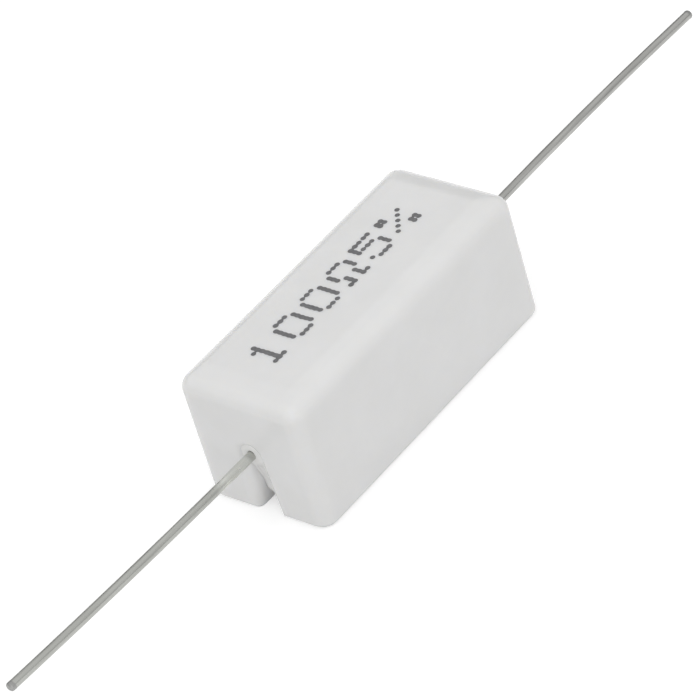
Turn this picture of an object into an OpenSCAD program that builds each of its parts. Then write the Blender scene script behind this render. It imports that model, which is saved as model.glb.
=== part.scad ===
// Axial power resistor: a wire-wound element potted with cement in a ceramic trough.
// The origin is the middle of the trough's rim, which rests on the board. +Z is up, through
// the printed roof, and +X runs along the element, from the near lead to the far lead.

/* [Case] */
// Length of the case over its end walls
case_l = 22; // [18:0.5:30]
// Width of the case over its long walls
case_w = 9.2; // [7.8:0.1:12]
// Height of the case from rim to roof
case_h = 9; // [7.5:0.1:12]
// Thickness of the two long walls
side_wall = 1.2; // [0.8:0.1:1.4]
// Thickness of the two end walls
end_wall = 1.5; // [1:0.1:1.6]
// Thickness of the roof
roof_t = 1.3; // [0.8:0.1:1.5]
// Radius of the rounded edges of the roof
edge_r = 0.9; // [0.4:0.1:0.9]
// Radius of the upright outer corners
corner_r = 1; // [1:0.1:1.6]
// Radius of the upright corners inside the trough
cavity_r = 0.6; // [0.2:0.1:1]
// Radius of the rounded outer edge of the rim
rim_r = 0.4; // [0.2:0.1:0.6]

/* [Slots] */
// Width of each slot's round top, which its lead leaves through
slot_w = 0.9; // [0.8:0.05:1.2]
// Height of that round top's middle above the element's axis
slot_rise = 0.1; // [0:0.05:0.2]
// Slope of the slot's two sides, which part towards the rim, in degrees
slot_flare = 4; // [2:0.5:6]
// Radius of the rounded lip round each slot's mouth
lip_r = 0.7; // [0.4:0.1:0.9]

/* [Cement] */
// How far the cement round each lead stands back from the end wall's outer face
plug_recess = 0.8; // [0.7:0.1:1.1]
// Height of the cement's lower end in each slot, above the rim
plug_rise = 1; // [0.6:0.1:1.5]
// Height over which the cement slopes out from there to its full depth
plug_slope = 2.4; // [1.5:0.1:2.8]
// How far the cement's underside stands back from the rim, along its walls
fill_recess = 0.4; // [0.2:0.1:0.6]
// How much deeper the underside is along its middle, where the cement shrank
fill_dish = 0.25; // [0.05:0.05:0.4]

/* [Element] */
// Height of the element's axis above the middle of the cement
axis_rise = 0.275; // [0:0.025:0.3]
// Diameter of the ceramic rod
rod_d = 3.8; // [3:0.1:3.8]
// Thickness of cement between each cap and the end wall
end_cover = 2; // [1.4:0.1:3]
// Width of the chamfer on the rod's ends
rod_chamfer = 0.2; // [0.1:0.05:0.4]
// Wall thickness of the metal caps
cap_t = 0.25; // [0.15:0.05:0.35]
// Length of rod that each cap covers
cap_cover = 2.2; // [1.8:0.1:2.6]
// Radius of the outer edge at each cap's closed end
cap_edge_r = 0.15; // [0.05:0.05:0.15]
// Radial gap between the rod and the caps
cap_fit = 0.02; // [0.01:0.01:0.04]

/* [Winding] */
// Diameter of the resistance wire
wire_d = 0.25; // [0.15:0.05:0.35]
// Pitch of the winding
wire_pitch = 0.65; // [0.5:0.05:0.9]
// Length of each cap that the winding covers, from the cap's rim
wire_grip = 0.8; // [0.5:0.1:1.2]
// Length over which the wire steps down from a cap to the rod
wire_ramp = 0.6; // [0.4:0.1:1]
// Gap between the wire and what it lies on
wire_fit = 0.01; // [0.01:0.01:0.05]

/* [Leads] */
// Diameter of the leads
lead_d = 0.6; // [0.5:0.05:0.9]
// Length of the near lead outside the case
near_lead_l = 21.9; // [8:0.1:40]
// Length of the far lead outside the case
far_lead_l = 24.5; // [8:0.1:40]
// Upward lean of the near lead, in degrees
near_lean = 2; // [-3:0.1:3]
// Upward lean of the far lead, in degrees
far_lean = -0.2; // [-3:0.1:3]
// Radius of the weld bead between each lead and its cap
weld_r = 0.6; // [0.5:0.05:0.9]
// Extra radius of the lead where it leaves its weld bead
root_extra = 0.05; // [0.02:0.01:0.1]
// Chamfer on the cut tip of each lead
tip_chamfer = 0.08; // [0.02:0.02:0.14]

/* [Hidden] */
$fn = 72;

// Overshoot of every cutting shape past the surface that it cuts
past = 0.5;

cavity_l = case_l - 2 * end_wall;
cavity_w = case_w - 2 * side_wall;
cavity_h = case_h - roof_t;
slot_r = slot_w / 2;

// Height of the element's axis above the rim
axis_z = (fill_recess + fill_dish + cavity_h) / 2 + axis_rise;
rod_r = rod_d / 2;
rod_l = cavity_l - 2 * (end_cover + cap_t);
slot_z = axis_z + slot_rise;
cap_bore_r = rod_r + cap_fit;
cap_r = cap_bore_r + cap_t;
// Distances from the middle of the element to each cap's rim and closed face
cap_rim = rod_l / 2 - cap_cover;
cap_face = rod_l / 2 + cap_t;
lead_r = lead_d / 2;
// Length of each lead inside the case, from its cap to the end wall's outer face
lead_root = case_l / 2 - cap_face;

// The wire is swept with flat steps, so its path stands off by the sag of one step
wire_steps = 16;
wire_sides = 6;
wire_r = wire_d / 2;
sag = cos(180 / wire_steps);
wire_on_rod = (rod_r + wire_r + wire_fit) / sag;
wire_on_cap = (cap_r + wire_r + wire_fit) / sag;
wire_reach = cap_rim + wire_grip;
// Inner and outer ends of the step from the rod's radius to the cap's
ramp_out = cap_rim - wire_r - wire_fit;
ramp_in = ramp_out - wire_ramp;

module both_ends() {
    children();
    mirror([1, 0, 0]) children();
}

// Lays a shape that was drawn upright on the element's axis, pointing to the near end
module on_axis() {
    translate([0, 0, axis_z]) rotate([0, -90, 0]) children();
}

// Upright outline of the case, w wide, with its roof and rim edges rounded
module case_outline(w) {
    shoulder = case_h - edge_r;
    translate([-w / 2, rim_r]) square([w, shoulder - rim_r]);
    translate([rim_r - w / 2, 0]) square([w - 2 * rim_r, shoulder]);
    translate([edge_r - w / 2, shoulder - edge_r]) square([w - 2 * edge_r, 2 * edge_r]);
    for (side = [-1, 1]) {
        translate([side * (w / 2 - rim_r), rim_r]) circle(r = rim_r);
        translate([side * (w / 2 - edge_r), shoulder]) circle(r = edge_r);
    }
}

// Upright slab with that outline, l long and w wide
module case_slab(l, w) {
    rotate([90, 0, 90]) linear_extrude(height = l, center = true) case_outline(w);
}

module case_corner() {
    rotate_extrude() intersection() {
        case_outline(2 * corner_r);
        square([corner_r, case_h]);
    }
}

module case_block() {
    straight_l = case_l - 2 * corner_r;
    straight_w = case_w - 2 * corner_r;
    case_slab(straight_l, case_w);
    rotate([0, 0, 90]) case_slab(straight_w, case_l);
    for (x = [-1, 1], y = [-1, 1])
        translate([x * straight_l / 2, y * straight_w / 2, 0]) case_corner();
}

// The trough's inside, from the height z up
module cavity(z) {
    straight_l = cavity_l - 2 * cavity_r;
    straight_w = cavity_w - 2 * cavity_r;
    translate([0, 0, z]) linear_extrude(height = cavity_h - z) {
        square([straight_l, cavity_w], center = true);
        square([cavity_l, straight_w], center = true);
        for (x = [-1, 1], y = [-1, 1])
            translate([x * straight_l / 2, y * straight_w / 2]) circle(r = cavity_r);
    }
}

// Turns a shape that hangs from the slot's round top along each of the slot's two sides
module both_sides() {
    for (side = [0, 1])
        mirror([0, side, 0]) translate([0, 0, slot_z]) rotate([slot_flare, 0, 0]) children();
}

// Near slot, through to the distance out from the case's middle
module slot(out) {
    inner = cavity_l / 2 - past;
    through = out - inner;
    translate([-out, 0, slot_z]) rotate([0, 90, 0]) cylinder(r = slot_r, h = through);
    both_sides()
        translate([-out, -slot_r, -slot_z - past]) cube([through, slot_w, slot_z + past]);
}

// Section of what rounds a slot's lip, with the outer face at y = 0
module lip_section() {
    difference() {
        translate([0, -lip_r]) square([slot_r + lip_r, lip_r + past]);
        translate([slot_r + lip_r, -lip_r]) circle(r = lip_r);
    }
}

module lip_cut() {
    translate([-case_l / 2, 0, 0]) {
        translate([0, 0, slot_z]) rotate([0, -90, 0]) rotate_extrude() lip_section();
        both_sides()
            translate([0, 0, -slot_z - past]) rotate([0, 0, 90])
                linear_extrude(height = slot_z + past) lip_section();
    }
}

module ceramic_case() {
    color([0.9, 0.9, 0.89]) difference() {
        case_block();
        cavity(-past);
        both_ends() {
            slot(case_l / 2 + past);
            lip_cut();
        }
    }
}

// Long round bar that dishes the cement's underside
module dish_bar() {
    half = cavity_w / 2;
    r = (half * half + fill_dish * fill_dish) / (2 * fill_dish);
    translate([0, 0, fill_recess + fill_dish - r])
        rotate([0, 90, 0]) cylinder(r = r, h = case_l, center = true);
}

// The room that the element takes up in the cement, with the wire's as plain sleeves
module element_room() {
    on_axis() {
        cylinder(r = wire_on_rod + wire_r + wire_fit, h = 2 * cap_rim, center = true);
        for (side = [0, 1])
            mirror([0, 0, side]) translate([0, 0, ramp_in])
                cylinder(r = wire_on_cap + wire_r + wire_fit,
                         h = wire_reach + wire_r + wire_fit - ramp_in);
    }
    both_ends() cap_body();
    lead(near_lean, near_lead_l);
    mirror([1, 0, 0]) lead(far_lean, far_lead_l);
}

// The cement in the near slot, whose lower end slopes back to the end wall's inside
module plug() {
    inner = cavity_l / 2;
    out = case_l / 2 - plug_recess;
    intersection() {
        slot(out + past);
        rotate([90, 0, 0]) linear_extrude(height = case_w, center = true)
            polygon([[-inner, plug_rise], [-inner, case_h], [-out, case_h],
                     [-out, plug_rise + plug_slope]]);
    }
}

module cement_fill() {
    color([0.8, 0.79, 0.76]) difference() {
        union() {
            difference() {
                cavity(fill_recess);
                dish_bar();
            }
            both_ends() plug();
        }
        element_room();
    }
}

module core_rod() {
    color([0.87, 0.85, 0.8]) on_axis() rotate_extrude()
        polygon([[0, -rod_l / 2], [rod_r - rod_chamfer, -rod_l / 2],
                 [rod_r, rod_chamfer - rod_l / 2], [rod_r, rod_l / 2 - rod_chamfer],
                 [rod_r - rod_chamfer, rod_l / 2], [0, rod_l / 2]]);
}

// Outside of the near cap, as a solid
module cap_body() {
    flat_r = cap_r - cap_edge_r;
    side_top = cap_face - cap_edge_r;
    on_axis() rotate_extrude() {
        translate([0, cap_rim]) square([cap_r, side_top - cap_rim]);
        translate([0, cap_rim]) square([flat_r, cap_face - cap_rim]);
        translate([flat_r, side_top]) circle(r = cap_edge_r);
    }
}

module cap() {
    difference() {
        cap_body();
        on_axis() translate([0, 0, cap_rim - past])
            cylinder(r = cap_bore_r, h = cap_cover + past);
    }
}

module near_cap() {
    color([0.72, 0.71, 0.68]) cap();
}

module far_cap() {
    color([0.72, 0.71, 0.68]) mirror([1, 0, 0]) cap();
}

// Radius of the wire's path at the distance x from the middle of the element
function wire_path_r(x) =
    let (t = min(1, max(0, (abs(x) - ramp_in) / wire_ramp)))
    wire_on_rod + (wire_on_cap - wire_on_rod) * t * t * (3 - 2 * t);

// One ring of the wire, round the path's point at the distance x and the angle a
function wire_ring(x, a) =
    let (r = wire_path_r(x))
    [for (k = [0 : wire_sides - 1])
        let (b = 360 * k / wire_sides, out = r + wire_r * cos(b))
        [x + wire_r * sin(b), out * cos(a), out * sin(a)]];

module resistance_wire() {
    rings = round(2 * wire_reach / wire_pitch * wire_steps);
    points = [for (i = [0 : rings])
        each wire_ring(wire_reach * (2 * i / rings - 1), 360 * i / wire_steps)];
    last = rings * wire_sides;
    skin = [for (i = [0 : rings - 1], k = [0 : wire_sides - 1])
        let (a = i * wire_sides, b = a + wire_sides, next = (k + 1) % wire_sides)
        each [[a + k, b + k, b + next], [a + k, b + next, a + next]]];
    ends = [[for (k = [0 : wire_sides - 1]) k],
            [for (k = [wire_sides - 1 : -1 : 0]) last + k]];
    color([0.55, 0.5, 0.42]) translate([0, 0, axis_z])
        polyhedron(points = points, faces = concat(skin, ends));
}

// Near lead with its weld bead. It leans about the middle of its weld, out_l is its free
// length, and its root narrows to the free diameter where it leaves the case.
module lead(lean, out_l) {
    root_r = lead_r + root_extra;
    tip = lead_root + out_l;
    difference() {
        translate([-cap_face, 0, 0]) translate([0, 0, axis_z]) rotate([0, lean - 90, 0])
            rotate_extrude() {
                polygon([[0, 0], [root_r, 0], [root_r, weld_r], [lead_r, lead_root],
                         [lead_r, tip - tip_chamfer], [lead_r - tip_chamfer, tip], [0, tip]]);
                intersection() {
                    circle(r = weld_r);
                    translate([0, -weld_r]) square([weld_r, 2 * weld_r]);
                }
            }
        translate([-cap_face, -case_w / 2, 0]) cube([cap_face, case_w, case_h]);
    }
}

module near_lead() {
    color([0.66, 0.66, 0.62]) lead(near_lean, near_lead_l);
}

module far_lead() {
    color([0.66, 0.66, 0.62]) mirror([1, 0, 0]) lead(far_lean, far_lead_l);
}

ceramic_case();
cement_fill();
core_rod();
resistance_wire();
near_cap();
far_cap();
near_lead();
far_lead();
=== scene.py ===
"""Looks of the axial resistor: white ceramic case, potting cement, tinned leads and a printed rating."""

import math
import random

import bmesh
import bpy
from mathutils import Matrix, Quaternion, Vector
from mathutils.noise import noise as hills


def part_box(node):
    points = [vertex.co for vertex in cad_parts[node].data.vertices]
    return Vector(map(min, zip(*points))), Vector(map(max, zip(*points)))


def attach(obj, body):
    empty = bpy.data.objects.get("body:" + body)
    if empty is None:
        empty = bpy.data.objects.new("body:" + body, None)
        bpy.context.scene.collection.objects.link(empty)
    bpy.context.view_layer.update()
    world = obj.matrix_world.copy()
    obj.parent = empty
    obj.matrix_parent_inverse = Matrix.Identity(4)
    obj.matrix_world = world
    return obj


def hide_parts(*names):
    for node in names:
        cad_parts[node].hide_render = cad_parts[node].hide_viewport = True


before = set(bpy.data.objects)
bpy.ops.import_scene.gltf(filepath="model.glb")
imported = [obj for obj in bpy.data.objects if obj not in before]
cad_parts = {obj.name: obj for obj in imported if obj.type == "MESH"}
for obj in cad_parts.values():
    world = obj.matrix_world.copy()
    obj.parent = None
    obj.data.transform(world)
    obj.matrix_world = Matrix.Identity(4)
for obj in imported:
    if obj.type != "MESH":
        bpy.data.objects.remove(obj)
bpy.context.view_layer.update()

# A millimetre in metres, the axes, the least value to divide by, and the body that all pieces ride on
MM = 0.001
X, Y, Z = 0, 1, 2
TINY = 1e-6
BODY = "root"
SEED = 22
rng = random.Random(SEED)

# Camera, as fitted to the outline of the case in the photograph: angles in degrees, and the lens
# and the sensor in millimetres
CAM_AZIMUTH = -41.805
CAM_ELEVATION = 37.231
CAM_ROLL = -17.248
CAM_DISTANCE = 258.67 * MM
CAM_TARGET = Vector((-0.804, 0.281, 4.5)) * MM
CAM_LENS = 222.43
CAM_SENSOR = 36
CAM_CLIP = (0.01, 10)

# Light: a room that is brightest overhead, with a window behind the camera. Behind the object
# is a pale backdrop with a dark strip over it. Edges are where each of them fades, as the cosine
# of the angle from its direction, or for the strip as heights on the unit sphere.
ROOM_LIGHT = Vector((-0.1, -0.15, 0.85))
ROOM_EDGE = (-0.9, 0.9)
ROOM_BRIGHT = 0.95
ROOM_DIM = 0.05
WINDOW = Vector((-0.6, -0.7, 0.3))
WINDOW_EDGE = (0.75, 0.95)
WINDOW_BRIGHT = 0.41
ROOM_BACK = Vector((0.67, 0.74, 0))
BACK_EDGE = (0.1, 0.5)
BACKDROP = 0.8
STRIP_LOW = (0.16, 0.3)
STRIP_HIGH = (0.36, 0.5)

# Floor: its side in metres, its own tone, and the glow that lifts it to white where it is seen
FLOOR_SIZE = 3.0
FLOOR_ALBEDO = 0.74
FLOOR_LIFT = 0.45

# Case, in millimetres, as in the CAD source
CASE_END = 11.0
CASE_HALF_W = 4.6
SHOULDER = 8.1
CAVITY_END = 9.5
CAVITY_HALF_W = 3.4
CAVITY_R = 0.6
SLOT_R = 0.45
SLOT_Z = 4.55
SLOT_FLARE = math.radians(4)
LIP_R = 0.7

# Roof of the case, in millimetres: it rises by CROWN between CROWN_START from each side and that
# side's inset, which is wider at the ends than at the long edges. It is cut into narrow strips
# there, and the walls are cut a little below the shoulder, where the shading of the edges ends.
CROWN = 0.24
CROWN_START = 0.28
CROWN_INSETS = {"near": 2.0, "far": 1.9, "right": 1.65, "left": 1.25}
CROWN_STEP = 0.11
WALL_CUT = 0.1
CUT_MERGE = 1e-4
SHARP_ANGLE = math.radians(30)

# Underside of the cement, in millimetres: the first two values are the CAD source's. A pitted skin
# stands SKIN_OUT out of it and climbs further at the walls, with a small gap to them and its hidden
# side SKIN_DEPTH inside the cement. Hills are (width, height).
FILL_RECESS = 0.4
FILL_DISH = 0.25
SKIN_OUT = 0.08
SKIN_CLIMB = 0.12
SKIN_CLIMB_W = 0.25
SKIN_DEPTH = 0.15
SKIN_GAP = 0.01
SKIN_STEP = 0.13
COARSE_HILLS = (1.4, 0.04)
FINE_HILLS = (0.4, 0.02)
PIT_COUNT = 60
PIT_X = 9
PIT_Y = 3
PIT_R = (0.08, 0.24)
PIT_DEPTH = 0.5

# Cement in the slots, in millimetres, with depths from the case's end face. The first three values
# are the CAD source's plug, which slopes back from its recess down to its rise over the rim. The
# cement follows it, PLUG_WET in front of it and never deeper than PLUG_DEEPEST. It climbs at the
# walls as a meniscus, is banked against the right one and ends at PLUG_FOOT over the rim.
PLUG_RECESS = 0.8
PLUG_RISE = 1.0
PLUG_SLOPE = 2.4
PLUG_WET = 0.1
PLUG_DEEPEST = 1.2
PLUG_FOOT = 1.1
MENISCUS = 0.15
MENISCUS_BEND = 5
BANK = 0.5
BANK_W = 4 * SLOT_R

# Collar round the lead, in millimetres: flat next to the lead, dished from there on, and falling
# off to the plug outside COLLAR_R. Its mesh has rings that crowd towards the lead, small gaps to
# the lead and the walls, and a back that is sunk into the potting.
COLLAR_R = 0.74
COLLAR_FALL = 0.3
COLLAR_RECESS = 0.12
COLLAR_FLAT = 0.1
COLLAR_DISH = 0.25
COLLAR_HILLS = (0.3, 0.03)
COLLAR_SPOKES = 96
COLLAR_RINGS = 56
COLLAR_CROWD = 1.5
LEAD_GAP = 0.01
WALL_GAP = 0.004
BACK_SINK = 0.05

# Slices of the noise field that the cement's surfaces are taken from
COARSE_SLICE = 0
COLLAR_SLICE = 3
FINE_SLICE = 7

# Leads, in millimetres. Each bows a little: its height over the element's axis is
# rise * s + curve * s * s at the distance s from its cap.
AXIS_Z = 4.45
WELD_R = 0.6
WELD_TURN = math.radians(54)
WELD_STEPS = 6
ROOT_L = 3.5
LEAD_R = 0.3
LEAD_STEP = 0.2
LEAD_SIDES = 28
BOWS = {"near_lead": (0.0115, 0.001), "far_lead": (0.0263, -0.00138)}

# Faint dents in the leads: their depth in millimetres, and how many fit in a millimetre along the
# wire and in its radius
DENT_DEPTH = 0.007
DENTS_ALONG = 0.35
DENTS_ROUND = 2.5

# Cut tip of a lead, in millimetres from its end: how far the bare metal reaches, where the plain
# wire stops, and the tip's outline as (distance, share of the wire's radius)
CUT_L = 0.25
TIP_L = 0.14
TIP = ((0.13, 1), (0.06, 0.9), (0.015, 0.68), (0, 0.4))

# Roots of the leads: painted shade where the wire leaves the cement, and then a painted reflection of
# the case's end face that thins out. Both are factors on the metal's colour, at millimetres from the
# case's middle.
ROOT_SHADE = 0.74
ROOT_SHADE_FULL = 11.1
ROOT_SHADE_GONE = 11.45
ROOT_REFLECTION_GAIN = 1.55
ROOT_REFLECTION_FULL = 13.5
ROOT_REFLECTION_END = 15.0
ROOT_REFLECTION_RAGGED = 0.6

# Printed rating: rows of a dot font, and the ink's blots in millimetres. The ink is traced over a
# grid of INK_STEP with a margin round each glyph, and no cell's cut is narrower than INK_SLIVER steps.
PRINT = "100Ω5%"
GLYPHS = {
    "0": ".xxx. x...x x...x x...x x...x x...x .xxx.",
    "1": "..x.. .xx.. ..x.. ..x.. ..x.. ..x.. .xxx.",
    "5": "xxxxx x.... xxxx. ....x ....x x...x .xxx.",
    "Ω": ".xxx. x...x x...x x...x .x.x. .x.x. xx.xx",
    "%": "xx... xx..x ...x. ..x.. .x... x..xx ...xx",
}
GLYPH_COLS = 5
GLYPH_ROWS = 7
DOT_PITCH_X = 0.42
DOT_PITCH_Y = 0.34
DOT_R = 0.17
DOT_R_SPREAD = (0.94, 1.06)
DOT_JITTER = 0.008
CHAR_PITCH = 2.61
PRINT_START = (-7.86, -0.65)
INK_MARGIN = 0.5
INK_STEP = 0.03
INK_HEIGHT = 0.008
INK_SLIVER = 0.03


def node_material(name):
    """A new material with its node tree's parts: (material, tree, shader)."""
    mat = bpy.data.materials.new(name)
    mat.use_nodes = True
    tree = mat.node_tree
    return mat, tree, tree.nodes["Principled BSDF"]


def noise(tree, scale, detail=3.0, rough=0.55, stretch=(1, 1, 1)):
    """Noise in the part's own frame, with features about 1/scale metres wide."""
    coords = tree.nodes.new("ShaderNodeTexCoord")
    mapping = tree.nodes.new("ShaderNodeMapping")
    mapping.inputs["Scale"].default_value = stretch
    tex = tree.nodes.new("ShaderNodeTexNoise")
    tex.inputs["Scale"].default_value = scale
    tex.inputs["Detail"].default_value = detail
    tex.inputs["Roughness"].default_value = rough
    tree.links.new(coords.outputs["Object"], mapping.inputs["Vector"])
    tree.links.new(mapping.outputs["Vector"], tex.inputs["Vector"])
    return tex.outputs["Fac"]


def two_tone(tree, fac, dark, light, start=0.3, end=0.7):
    """Colour that is dark up to fac's start and light from its end on."""
    node = tree.nodes.new("ShaderNodeValToRGB")
    first, last = node.color_ramp.elements
    first.position, last.position = start, end
    first.color, last.color = (*dark, 1), (*light, 1)
    tree.links.new(fac, node.inputs["Fac"])
    return node.outputs["Color"]


def spread(tree, fac, low, high, start=0.0, end=1.0):
    """fac between start and end as a value between low and high, eased at both ends."""
    node = tree.nodes.new("ShaderNodeMapRange")
    node.interpolation_type = "SMOOTHSTEP"
    node.inputs["From Min"].default_value = start
    node.inputs["From Max"].default_value = end
    node.inputs["To Min"].default_value = low
    node.inputs["To Max"].default_value = high
    tree.links.new(fac, node.inputs["Value"])
    return node.outputs["Result"]


def math_node(tree, operation, first, second):
    """A math node over two sockets or numbers."""
    node = tree.nodes.new("ShaderNodeMath")
    node.operation = operation
    for socket, value in zip(node.inputs, (first, second)):
        if isinstance(value, (int, float)):
            socket.default_value = value
        else:
            tree.links.new(value, socket)
    return node.outputs[0]


def bump(tree, shader, layers):
    """Bump from (height, depth in metres) layers, one over the other."""
    normal = None
    for height, depth in layers:
        node = tree.nodes.new("ShaderNodeBump")
        node.inputs["Strength"].default_value = 1
        node.inputs["Distance"].default_value = depth
        tree.links.new(height, node.inputs["Height"])
        if normal:
            tree.links.new(normal, node.inputs["Normal"])
        normal = node.outputs["Normal"]
    tree.links.new(normal, shader.inputs["Normal"])


def ceramic(name, light, dark, rough):
    """Fine ceramic: faint blotches, a fine grain, and light that spreads a little under its skin."""
    mat, tree, shader = node_material(name)
    blotches = noise(tree, scale=260, detail=4)
    tree.links.new(two_tone(tree, blotches, dark, light), shader.inputs["Base Color"])
    grain = noise(tree, scale=7000, detail=4, rough=0.6)
    tree.links.new(spread(tree, grain, *rough), shader.inputs["Roughness"])
    shader.inputs["Subsurface Weight"].default_value = 0.6
    shader.inputs["Subsurface Radius"].default_value = (1, 0.95, 0.85)
    shader.inputs["Subsurface Scale"].default_value = 0.5 * MM
    waves = noise(tree, scale=420, detail=2)
    bump(tree, shader, [(waves, 0.05 * MM), (grain, 0.003 * MM)])
    return mat


def cement(name, light, dark, rough):
    """Matte cement with a gritty skin."""
    mat, tree, shader = node_material(name)
    grit = noise(tree, scale=2600, detail=6, rough=0.65)
    tree.links.new(two_tone(tree, grit, dark, light, end=0.65), shader.inputs["Base Color"])
    tree.links.new(spread(tree, grit, *rough), shader.inputs["Roughness"])
    bump(tree, shader, [(grit, 0.02 * MM)])
    return mat


def with_root_shade_and_reflection(tree, colour):
    """The colour of a lead with painted shade at its exit from the cement and a painted reflection of
    the case's end face on its root.
    """
    coords = tree.nodes.new("ShaderNodeTexCoord")
    split = tree.nodes.new("ShaderNodeSeparateXYZ")
    tree.links.new(coords.outputs["Object"], split.inputs["Vector"])
    along = math_node(tree, "ABSOLUTE", split.outputs["X"], 0)
    # Painted reflection of the case's end face: the wire's colour is raised near the case and fades out
    # with a ragged edge.
    ragged = math_node(tree, "MULTIPLY", noise(tree, scale=1500, detail=2), ROOT_REFLECTION_RAGGED * MM)
    reflection_gain = spread(tree, math_node(tree, "ADD", along, ragged), ROOT_REFLECTION_GAIN, 1,
                  start=ROOT_REFLECTION_FULL * MM, end=ROOT_REFLECTION_END * MM)
    # Painted shade where the wire leaves the cement: the colour is darkened there and eases back to
    # full.
    shade_gain = spread(tree, along, ROOT_SHADE, 1, start=ROOT_SHADE_FULL * MM, end=ROOT_SHADE_GONE * MM)
    tinted = tree.nodes.new("ShaderNodeVectorMath")
    tinted.operation = "SCALE"
    tree.links.new(colour, tinted.inputs[0])
    tree.links.new(math_node(tree, "MULTIPLY", reflection_gain, shade_gain), tinted.inputs["Scale"])
    return tinted.outputs["Vector"]


def metal(name, light, dark, rough, root=False):
    """Drawn or plated metal with streaks along the part's length, and, if asked, painted shade and a
    painted reflection on a lead's root.
    """
    mat, tree, shader = node_material(name)
    shader.inputs["Metallic"].default_value = 1
    streaks = noise(tree, scale=3000, detail=4, rough=0.6, stretch=(0.06, 1, 1))
    colour = two_tone(tree, streaks, dark, light)
    tree.links.new(with_root_shade_and_reflection(tree, colour) if root else colour, shader.inputs["Base Color"])
    smears = noise(tree, scale=900)
    tree.links.new(spread(tree, smears, *rough), shader.inputs["Roughness"])
    bump(tree, shader, [(streaks, 0.002 * MM)])
    return mat


def ink(name, light, dark, rough):
    """Dark ink, uneven in its tone and gloss."""
    mat, tree, shader = node_material(name)
    patches = noise(tree, scale=5000)
    tree.links.new(two_tone(tree, patches, dark, light), shader.inputs["Base Color"])
    tree.links.new(spread(tree, patches, *rough), shader.inputs["Roughness"])
    return mat


MATERIALS = {
    "ceramic_case": ceramic("case_ceramic", light=(0.83, 0.83, 0.828), dark=(0.8, 0.8, 0.796),
                            rough=(0.15, 0.27)),
    "cement_fill": cement("potting_cement", light=(0.9, 0.897, 0.888), dark=(0.81, 0.806, 0.795),
                          rough=(0.75, 0.95)),
    "core_rod": ceramic("rod_ceramic", light=(0.62, 0.58, 0.5), dark=(0.55, 0.51, 0.44),
                        rough=(0.45, 0.57)),
    "resistance_wire": metal("resistance_alloy", light=(0.4, 0.35, 0.3), dark=(0.3, 0.26, 0.22),
                             rough=(0.29, 0.41)),
    "near_cap": metal("plated_cap", light=(0.6, 0.59, 0.56), dark=(0.5, 0.49, 0.46),
                      rough=(0.29, 0.41)),
    # root=True paints shade and a reflection of the case's end face on the lead's root.
    "near_lead": metal("tinned_wire", light=(0.505, 0.51, 0.485), dark=(0.395, 0.4, 0.375),
                       rough=(0.2, 0.32), root=True),
    # The far lead is the same wire as the near one. Its darker colour is painted shade, and its
    # roughness is lower.
    "far_lead": metal("smoother_wire_with_painted_shade", light=(0.5, 0.5, 0.482), dark=(0.34, 0.34, 0.326),
                      rough=(0.12, 0.24), root=True),
}
MATERIALS["far_cap"] = MATERIALS["near_cap"]
CUT_METAL = metal("bare_wire", light=(0.4, 0.4, 0.39), dark=(0.3, 0.3, 0.292), rough=(0.34, 0.46))
PRINT_INK = ink("print_ink", light=(0.19, 0.19, 0.195), dark=(0.13, 0.13, 0.134), rough=(0.45, 0.65))


def dress_frame():
    """Materials on the CAD nodes."""
    for node, mat in MATERIALS.items():
        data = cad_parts[node].data
        data.materials.clear()
        data.materials.append(mat)


def finish_piece(mesh, name, mat, smooth=True):
    """The mesh, drawn in millimetres, as a piece that rides on the body."""
    bmesh.ops.recalc_face_normals(mesh, faces=mesh.faces)
    bmesh.ops.scale(mesh, vec=(MM, MM, MM), verts=mesh.verts)
    for face in mesh.faces:
        face.smooth = smooth
    data = bpy.data.meshes.new(name)
    mesh.to_mesh(data)
    mesh.free()
    obj = bpy.data.objects.new(name, data)
    bpy.context.scene.collection.objects.link(obj)
    obj.data.materials.append(mat)
    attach(obj, BODY)
    return obj


def eased(share):
    """The share, kept between 0 and 1 and eased at both ends."""
    share = min(1, max(0, share))
    return share * share * (3 - 2 * share)


def uneven(point, size, depth):
    """Smooth random height between -depth and depth, with hills about size wide."""
    return depth * hills(Vector(point) / size)


def join_rings(mesh, low, high):
    """Faces between two closed rings of vertices."""
    for k, vert in enumerate(low):
        n = (k + 1) % len(low)
        mesh.faces.new((vert, low[n], high[n], high[k]))


def crown(x, y):
    """How far the roof stands over the CAD roof's plane."""
    along = CROWN_INSETS["near" if x < 0 else "far"]
    across = CROWN_INSETS["right" if y < 0 else "left"]
    return (CROWN * eased((CASE_END - abs(x) - CROWN_START) / (along - CROWN_START))
            * eased((CASE_HALF_W - abs(y) - CROWN_START) / (across - CROWN_START)))


def cut(mesh, axis, place, over):
    """Cuts the faces that reach higher than over, along the plane axis = place."""
    faces = [f for f in mesh.faces if max(v.co.z for v in f.verts) > over]
    edges = {e for f in faces for e in f.edges}
    verts = {v for f in faces for v in f.verts}
    normal, point = Vector(), Vector()
    normal[axis], point[axis] = 1, place
    bmesh.ops.bisect_plane(mesh, geom=[*verts, *edges, *faces], plane_co=point, plane_no=normal,
                           dist=CUT_MERGE)


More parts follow.
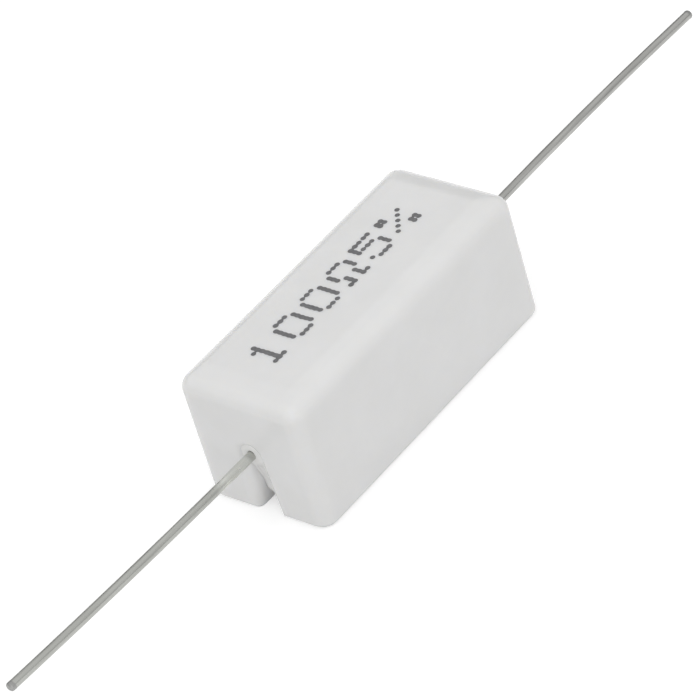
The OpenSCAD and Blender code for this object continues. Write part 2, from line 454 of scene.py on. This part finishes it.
def soft_case():
    """The case with the slightly crowned roof that pressing and firing leave."""
    mesh = bmesh.new()
    mesh.from_mesh(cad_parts["ceramic_case"].data)
    bmesh.ops.scale(mesh, vec=(1 / MM, 1 / MM, 1 / MM), verts=mesh.verts)
    cut(mesh, Z, SHOULDER - WALL_CUT, 0)
    steps = round(max(CROWN_INSETS.values()) / CROWN_STEP)
    for axis, half in ((X, CASE_END), (Y, CASE_HALF_W)):
        for k in range(steps):
            for side in (-1, 1):
                cut(mesh, axis, side * (half - CROWN_START - k * CROWN_STEP), SHOULDER)
    for vert in mesh.verts:
        if vert.co.z > SHOULDER:
            vert.co.z += crown(vert.co.x, vert.co.y)
    piece = finish_piece(mesh, "case_body", MATERIALS["ceramic_case"])
    piece.data.set_sharp_from_angle(angle=SHARP_ANGLE)
    normals = piece.modifiers.new("normals", "WEIGHTED_NORMAL")
    normals.keep_sharp = True
    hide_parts("ceramic_case")


def lead_profile(length):
    """(distance from the cap, radius) along a lead: weld bead, root, wire and cut tip."""
    stops = [(0, WELD_R)]
    for k in range(1, WELD_STEPS + 1):
        angle = WELD_TURN * k / WELD_STEPS
        stops.append((WELD_R * math.sin(angle), WELD_R * math.cos(angle)))
    stops.append((ROOT_L, LEAD_R))
    steps = round((length - ROOT_L) / LEAD_STEP)
    for k in range(1, steps):
        stops.append((ROOT_L + k * (length - ROOT_L - TIP_L) / steps, LEAD_R))
    stops += [(length - back, share * LEAD_R) for back, share in TIP]
    return stops


def lead_ring(mesh, x, z, radius):
    """A ring of vertices round a lead's axis at x and z, faintly dented."""
    ring = []
    for k in range(LEAD_SIDES):
        angle = math.tau * k / LEAD_SIDES
        across, up = math.cos(angle), math.sin(angle)
        place = (DENTS_ALONG * x, DENTS_ROUND * across, DENTS_ROUND * up)
        reach = radius + uneven(place, 1, DENT_DEPTH)
        ring.append(mesh.verts.new((x, reach * across, z + reach * up)))
    return ring


def swept_lead(node):
    """The lead as a drawn wire with a slight bow, its skin faintly dented."""
    low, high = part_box(node)
    side = -1 if node == "near_lead" else 1
    cap_face = min(abs(low.x), abs(high.x)) / MM
    length = max(abs(low.x), abs(high.x)) / MM - cap_face
    rise, curve = BOWS[node]
    mesh = bmesh.new()
    last = None
    for s, radius in lead_profile(length):
        height = AXIS_Z + rise * s + curve * s * s
        ring = lead_ring(mesh, side * (cap_face + s), height, radius)
        if last:
            join_rings(mesh, last, ring)
        else:
            mesh.faces.new(ring)
        last = ring
    mesh.faces.new(last)
    for face in mesh.faces:
        if abs(face.calc_center_median().x) > cap_face + length - CUT_L:
            face.material_index = 1
    piece = finish_piece(mesh, node + "_wire", MATERIALS[node])
    piece.data.materials.append(CUT_METAL)
    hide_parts(node)


def lip_offset(depth):
    """How much wider than its straight part a slot is at this depth below the end face."""
    if depth >= LIP_R:
        return 0.0
    return LIP_R - math.sqrt(LIP_R ** 2 - (LIP_R - depth) ** 2)


def slot_edge(angle):
    """Distance from the lead's axis to the edge of the cement in this direction, and the normal of
    the slot's wall there, or zero along the level foot of the cement."""
    along = Vector((math.cos(angle), math.sin(angle)))
    if -SLOT_FLARE < angle < math.pi + SLOT_FLARE:
        return SLOT_R, along
    wall = Vector((math.copysign(math.cos(SLOT_FLARE), along.x), math.sin(SLOT_FLARE)))
    to_wall = SLOT_R / max(along.dot(wall), TINY)
    to_foot = (SLOT_Z - PLUG_FOOT) / max(-along.y, TINY)
    return (to_wall, wall) if to_wall < to_foot else (to_foot, Vector((0, 0)))


def collar_depth(y, z, edge):
    """Depth of the cement below the end face. edge goes from 0 at the lead to 1 at the walls."""
    wall = CASE_END - CAVITY_END
    slope = wall - (wall - PLUG_RECESS) * min(1, max(0, (z - PLUG_RISE) / PLUG_SLOPE))
    plug = (min(slope - PLUG_WET, PLUG_DEEPEST)
            - MENISCUS * edge ** MENISCUS_BEND - BANK * eased(0.5 - y / BANK_W))
    away = math.hypot(y, z - SLOT_Z)
    collar = COLLAR_RECESS + COLLAR_DISH * max(0, away - LEAD_R - COLLAR_FLAT) ** 2
    fall = eased((away - COLLAR_R) / COLLAR_FALL)
    return collar + (plug - collar) * fall + uneven((y, z, COLLAR_SLICE), *COLLAR_HILLS)


def cement_collar(side, name):
    """Cement that wets the slot's walls and stands round the lead as a low collar. Its face is made
    of rings from the lead out to the walls, and its back lies inside the potting."""
    mesh = bmesh.new()
    inner = LEAD_R + LEAD_GAP
    surface = []
    for i in range(COLLAR_RINGS + 1):
        edge = (i / COLLAR_RINGS) ** COLLAR_CROWD
        ring = []
        for k in range(COLLAR_SPOKES):
            angle = -math.pi / 2 + math.tau * (k + 0.5) / COLLAR_SPOKES
            reach, normal = slot_edge(angle)
            place = Vector((math.cos(angle), math.sin(angle))) * (inner + edge * (reach - inner))
            depth = collar_depth(place.x, SLOT_Z + place.y, edge)
            place += edge * edge * (lip_offset(depth) - WALL_GAP) * normal
            ring.append(mesh.verts.new((side * (CASE_END - depth), place.x, SLOT_Z + place.y)))
        surface.append(ring)
        if i:
            join_rings(mesh, surface[-2], ring)
    back_x = side * (CAVITY_END - BACK_SINK)
    back = []
    for ring in (surface[0], surface[-1]):
        back.append([mesh.verts.new((back_x, v.co.y, v.co.z)) for v in ring])
    join_rings(mesh, surface[0], back[0])
    join_rings(mesh, surface[-1], back[1])
    join_rings(mesh, back[0], back[1])
    piece = finish_piece(mesh, name, MATERIALS["cement_fill"])


def underside(x, y, pits):
    """Height of the skin's rough face over the rim, where the cement is dished and pitted."""
    dish = FILL_RECESS + FILL_DISH * (1 - (y / CAVITY_HALF_W) ** 2)
    climb = (math.exp((abs(y) - CAVITY_HALF_W) / SKIN_CLIMB_W)
             + math.exp((abs(x) - CAVITY_END) / SKIN_CLIMB_W))
    rough = uneven((x, y, COARSE_SLICE), *COARSE_HILLS) + uneven((x, y, FINE_SLICE), *FINE_HILLS)
    height = dish - SKIN_OUT - SKIN_CLIMB * min(1, climb) + rough
    for pit_x, pit_y, r in pits:
        height += PIT_DEPTH * r * max(0, 1 - ((x - pit_x) ** 2 + (y - pit_y) ** 2) / r ** 2)
    return height


def cement_skin():
    """The cement's rough cast underside, with pits where air came out."""
    pits = [(rng.uniform(-PIT_X, PIT_X), rng.uniform(-PIT_Y, PIT_Y), rng.uniform(*PIT_R))
            for _ in range(PIT_COUNT)]
    rows, cols = round(2 * CAVITY_END / SKIN_STEP), round(2 * CAVITY_HALF_W / SKIN_STEP)
    mesh = bmesh.new()
    grids = ([], [])
    for i in range(rows + 1):
        x = (CAVITY_END - SKIN_GAP) * (2 * i / rows - 1)
        past_corner = max(0, abs(x) - CAVITY_END + CAVITY_R)
        half = CAVITY_HALF_W - SKIN_GAP - CAVITY_R + math.sqrt(CAVITY_R ** 2 - past_corner ** 2)
        lines = ([], [])
        for j in range(cols + 1):
            y = half * (2 * j / cols - 1)
            lines[0].append(mesh.verts.new((x, y, underside(x, y, pits))))
            lines[1].append(mesh.verts.new((x, y, FILL_RECESS + FILL_DISH + SKIN_DEPTH)))
        for grid, line in zip(grids, lines):
            grid.append(line)
    for grid in grids:
        for low, high in zip(grid, grid[1:]):
            for j in range(cols):
                mesh.faces.new((low[j], low[j + 1], high[j + 1], high[j]))
    rims = []
    for grid in grids:
        rims.append(grid[0] + [line[-1] for line in grid[1:-1]] + grid[-1][::-1]
                    + [line[0] for line in grid[-2:0:-1]])
    join_rings(mesh, *rims)
    piece = finish_piece(mesh, "cement_skin", MATERIALS["cement_fill"])


def glyph_dots(char, left):
    """Blots of a glyph as (x, y, radius), each a little off its place and size."""
    dots = []
    for row, line in enumerate(GLYPHS[char].split()):
        y = PRINT_START[1] + (GLYPH_ROWS - 1 - row) * DOT_PITCH_Y
        for col, mark in enumerate(line):
            if mark == "x":
                dots.append((left + col * DOT_PITCH_X + rng.gauss(0, DOT_JITTER),
                             y + rng.gauss(0, DOT_JITTER),
                             DOT_R * rng.uniform(*DOT_R_SPREAD)))
    return dots


def ink_level(dots, x, y):
    """How far inside the blots of ink a point lies; the ink's edge is at 0."""
    return sum(math.exp(1 - ((x - dx) ** 2 + (y - dy) ** 2) / (r * r)) for dx, dy, r in dots) - 1


def cell_outline(levels, i, j):
    """Corners of the ink in one cell, as (column, row, whether on the ink's edge) in order round it.
    Columns and rows count the grid's steps."""
    ring = [(i, j), (i + 1, j), (i + 1, j + 1), (i, j + 1)]
    outline = []
    for (a, b), (c, d) in zip(ring, ring[1:] + ring[:1]):
        here, there = levels[a][b], levels[c][d]
        if here >= 0:
            outline.append((a, b, False))
        if (here >= 0) != (there >= 0):
            share = min(1 - INK_SLIVER, max(INK_SLIVER, here / (here - there)))
            outline.append((a + share * (c - a), b + share * (d - b), True))
    return outline


def ink_cell(mesh, outline):
    """The ink's bottom and top in one cell, and its side along the ink's edge. The outline holds
    ((bottom vertex, top vertex), whether on the edge)."""
    mesh.faces.new([pair[1] for pair, _ in outline])
    mesh.faces.new([pair[0] for pair, _ in reversed(outline)])
    for (pair, edge), (next_pair, next_edge) in zip(outline, outline[1:] + outline[:1]):
        if edge and next_edge:
            mesh.faces.new((pair[0], next_pair[0], next_pair[1], pair[1]))


def ink_glyph(mesh, char, left):
    """One glyph whose round blots have run together, as a thin layer with a clean edge."""
    dots = glyph_dots(char, left)
    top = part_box("ceramic_case")[1].z / MM + CROWN
    corner = (left - INK_MARGIN, PRINT_START[1] - INK_MARGIN)
    cols = round(((GLYPH_COLS - 1) * DOT_PITCH_X + 2 * INK_MARGIN) / INK_STEP)
    rows = round(((GLYPH_ROWS - 1) * DOT_PITCH_Y + 2 * INK_MARGIN) / INK_STEP)
    levels = [[ink_level(dots, corner[0] + i * INK_STEP, corner[1] + j * INK_STEP)
               for j in range(rows + 1)] for i in range(cols + 1)]
    verts = {}

    def column(i, j):
        """The ink's bottom and top vertices at a place, made once for each hundredth of a step."""
        key = (round(i, 2), round(j, 2))
        if key not in verts:
            x, y = corner[0] + i * INK_STEP, corner[1] + j * INK_STEP
            verts[key] = (mesh.verts.new((x, y, top)), mesh.verts.new((x, y, top + INK_HEIGHT)))
        return verts[key]

    for i in range(cols):
        for j in range(rows):
            outline = cell_outline(levels, i, j)
            if outline:
                ink_cell(mesh, [(column(a, b), edge) for a, b, edge in outline])


def printed_rating():
    """The rating on the roof, as one thin layer of ink."""
    mesh = bmesh.new()
    for i, char in enumerate(PRINT):
        ink_glyph(mesh, char, PRINT_START[0] + i * CHAR_PITCH)
    finish_piece(mesh, "printed_rating", PRINT_INK, smooth=False)


def make_floor():
    """Pale floor that looks white to the camera and in reflections, with the object's shadow on it."""
    bpy.ops.mesh.primitive_plane_add(size=FLOOR_SIZE)
    floor = bpy.context.object
    floor.name = "floor"
    mat, tree, shader = node_material("floor_white")
    shader.inputs["Base Color"].default_value = (FLOOR_ALBEDO, FLOOR_ALBEDO, FLOOR_ALBEDO, 1)
    shader.inputs["Roughness"].default_value = 1
    shader.inputs["Specular IOR Level"].default_value = 0
    path = tree.nodes.new("ShaderNodeLightPath")
    seen = math_node(tree, "MAXIMUM", path.outputs["Is Camera Ray"], path.outputs["Is Glossy Ray"])
    seen = math_node(tree, "MAXIMUM", seen, path.outputs["Is Transmission Ray"])
    glow = tree.nodes.new("ShaderNodeEmission")
    tree.links.new(math_node(tree, "MULTIPLY", seen, FLOOR_LIFT), glow.inputs["Strength"])
    both = tree.nodes.new("ShaderNodeAddShader")
    tree.links.new(shader.outputs["BSDF"], both.inputs[0])
    tree.links.new(glow.outputs[0], both.inputs[1])
    tree.links.new(both.outputs[0], tree.nodes["Material Output"].inputs["Surface"])
    floor.data.materials.append(mat)


def facing(tree, coords, direction):
    """How much the world's direction points along this one, from -1 to 1."""
    node = tree.nodes.new("ShaderNodeVectorMath")
    node.operation = "DOT_PRODUCT"
    tree.links.new(coords.outputs["Generated"], node.inputs[0])
    node.inputs[1].default_value = direction.normalized()
    return node.outputs["Value"]


def make_world():
    """The room, darkened by the strip, plus the backdrop below it and the window."""
    world = bpy.data.worlds.new("studio")
    bpy.context.scene.world = world
    world.use_nodes = True
    tree = world.node_tree
    coords = tree.nodes.new("ShaderNodeTexCoord")
    split = tree.nodes.new("ShaderNodeSeparateXYZ")
    tree.links.new(coords.outputs["Generated"], split.inputs["Vector"])
    height = split.outputs["Z"]
    behind = spread(tree, facing(tree, coords, ROOM_BACK), 0, 1, *BACK_EDGE)
    dark = math_node(tree, "MULTIPLY", behind, spread(tree, height, 1, 0, *STRIP_HIGH))
    room = spread(tree, facing(tree, coords, ROOM_LIGHT), ROOM_DIM, ROOM_BRIGHT, *ROOM_EDGE)
    backdrop = math_node(tree, "MULTIPLY", behind, spread(tree, height, BACKDROP, 0, *STRIP_LOW))
    window = spread(tree, facing(tree, coords, WINDOW), 0, WINDOW_BRIGHT, *WINDOW_EDGE)
    light = math_node(tree, "MULTIPLY", room, math_node(tree, "SUBTRACT", 1, dark))
    light = math_node(tree, "ADD", light, math_node(tree, "ADD", backdrop, window))
    tree.links.new(light, tree.nodes["Background"].inputs["Strength"])
    tree.nodes["Background"].inputs["Color"].default_value = (1, 1, 1, 1)


def make_camera():
    """The camera at the photograph's viewing angle."""
    data = bpy.data.cameras.new("camera")
    cam = bpy.data.objects.new("camera", data)
    bpy.context.scene.collection.objects.link(cam)
    bpy.context.scene.camera = cam
    azimuth, elevation = math.radians(CAM_AZIMUTH), math.radians(CAM_ELEVATION)
    back = Vector((math.sin(azimuth) * math.cos(elevation),
                   -math.cos(azimuth) * math.cos(elevation),
                   math.sin(elevation)))
    level = (-back).to_track_quat("-Z", "Y")
    cam.rotation_mode = "QUATERNION"
    cam.rotation_quaternion = level @ Quaternion((0, 0, 1), math.radians(CAM_ROLL))
    cam.location = CAM_TARGET + back * CAM_DISTANCE
    data.sensor_width = CAM_SENSOR
    data.lens = CAM_LENS
    data.clip_start, data.clip_end = CAM_CLIP


make_camera()
make_world()
make_floor()
dress_frame()
soft_case()
swept_lead("near_lead")
swept_lead("far_lead")
cement_collar(-1, "near_collar")
cement_collar(1, "far_collar")
cement_skin()
printed_rating()
bpy.context.scene.view_settings.view_transform = "Standard"
